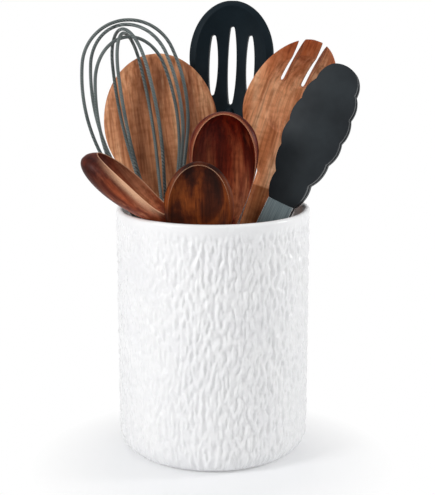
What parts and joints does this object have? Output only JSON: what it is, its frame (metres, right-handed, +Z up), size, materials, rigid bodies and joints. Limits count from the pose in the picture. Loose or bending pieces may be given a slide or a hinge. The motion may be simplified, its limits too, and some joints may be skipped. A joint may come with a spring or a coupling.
{
  "type": "utensil crock",
  "caption": "Round glazed crock with wooden spoons, turner, serving fork, slotted spoon, balloon whisk and locking tongs standing in it; each lifts out.",
  "frame": {"origin": "centre of the crock's foot ring, on the surface it stands on", "axes": "+Z up along the crock's axis, +X to the right and +Y away from someone facing the pictured side"},
  "size_m": [0.2151, 0.1587, 0.3477],
  "materials": {
    "glaze": "glossy",
    "wood": "satin",
    "moulding": "satin",
    "coating": "satin",
    "silicone": "matte",
    "steel": "satin"
  },
  "bodies": {
    "crock": {"crock": "glaze"},
    "whisk": {"whisk_handle": "wood", "whisk_collar": "coating", "whisk_wire_1": "coating", "whisk_wire_2": "coating", "whisk_wire_3": "coating", "whisk_wire_4": "coating", "whisk_wire_5": "coating"},
    "turner": {"turner": "wood"},
    "slotted_spoon": {"slotted_head": "moulding", "slotted_handle": "wood"},
    "fork": {"fork": "wood"},
    "large_spoon": {"large_spoon": "wood"},
    "small_spoon": {"small_spoon": "wood"},
    "side_spoon": {"side_spoon": "wood"},
    "tongs": {"tongs_back_arm": "steel", "tongs_back_head": "silicone", "tongs_pin": "steel", "tongs_spring": "steel"},
    "tongs_front": {"tongs_front_arm": "steel", "tongs_front_head": "silicone"},
    "tongs_tab": {"tongs_tab": "steel"}
  },
  "joints": [
    {"name": "whisk_lift", "type": "slide", "parent": "crock", "child": "whisk", "axis": [-0.173, -0.0019, 0.9849], "range_m": [0, 0.2]},
    {"name": "turner_lift", "type": "slide", "parent": "crock", "child": "turner", "axis": [-0.1284, 0.0676, 0.9894], "range_m": [0, 0.2]},
    {"name": "slotted_spoon_lift", "type": "slide", "parent": "crock", "child": "slotted_spoon", "axis": [0.0312, 0.1246, 0.9917], "range_m": [0, 0.2]},
    {"name": "fork_lift", "type": "slide", "parent": "crock", "child": "fork", "axis": [0.3059, 0.0713, 0.9494], "range_m": [0, 0.2]},
    {"name": "large_spoon_lift", "type": "slide", "parent": "crock", "child": "large_spoon", "axis": [-0.0076, -0.0106, 0.9999], "range_m": [0, 0.2]},
    {"name": "small_spoon_lift", "type": "slide", "parent": "crock", "child": "small_spoon", "axis": [-0.0053, -0.0167, 0.9998], "range_m": [0, 0.2]},
    {"name": "side_spoon_lift", "type": "slide", "parent": "crock", "child": "side_spoon", "axis": [-0.6282, -0.0199, 0.7778], "range_m": [0, 0.2]},
    {"name": "tongs_lift", "type": "slide", "parent": "crock", "child": "tongs", "axis": [0.421, 0.0809, 0.9034], "range_m": [0, 0.2]},
    {"name": "tongs_hinge", "type": "hinge", "parent": "tongs", "child": "tongs_front", "pos_m": [-0.02247, -0.01229, 0.03207], "axis": [0.8838, -0.2606, -0.3885], "range_deg": [-1.4, 4.2], "deforming": ["tongs_spring"]},
    {"name": "tongs_tab_slide", "type": "slide", "parent": "tongs", "child": "tongs_tab", "axis": [0.421, 0.0809, 0.9034], "range_m": [0, 0.008]}
  ]
}
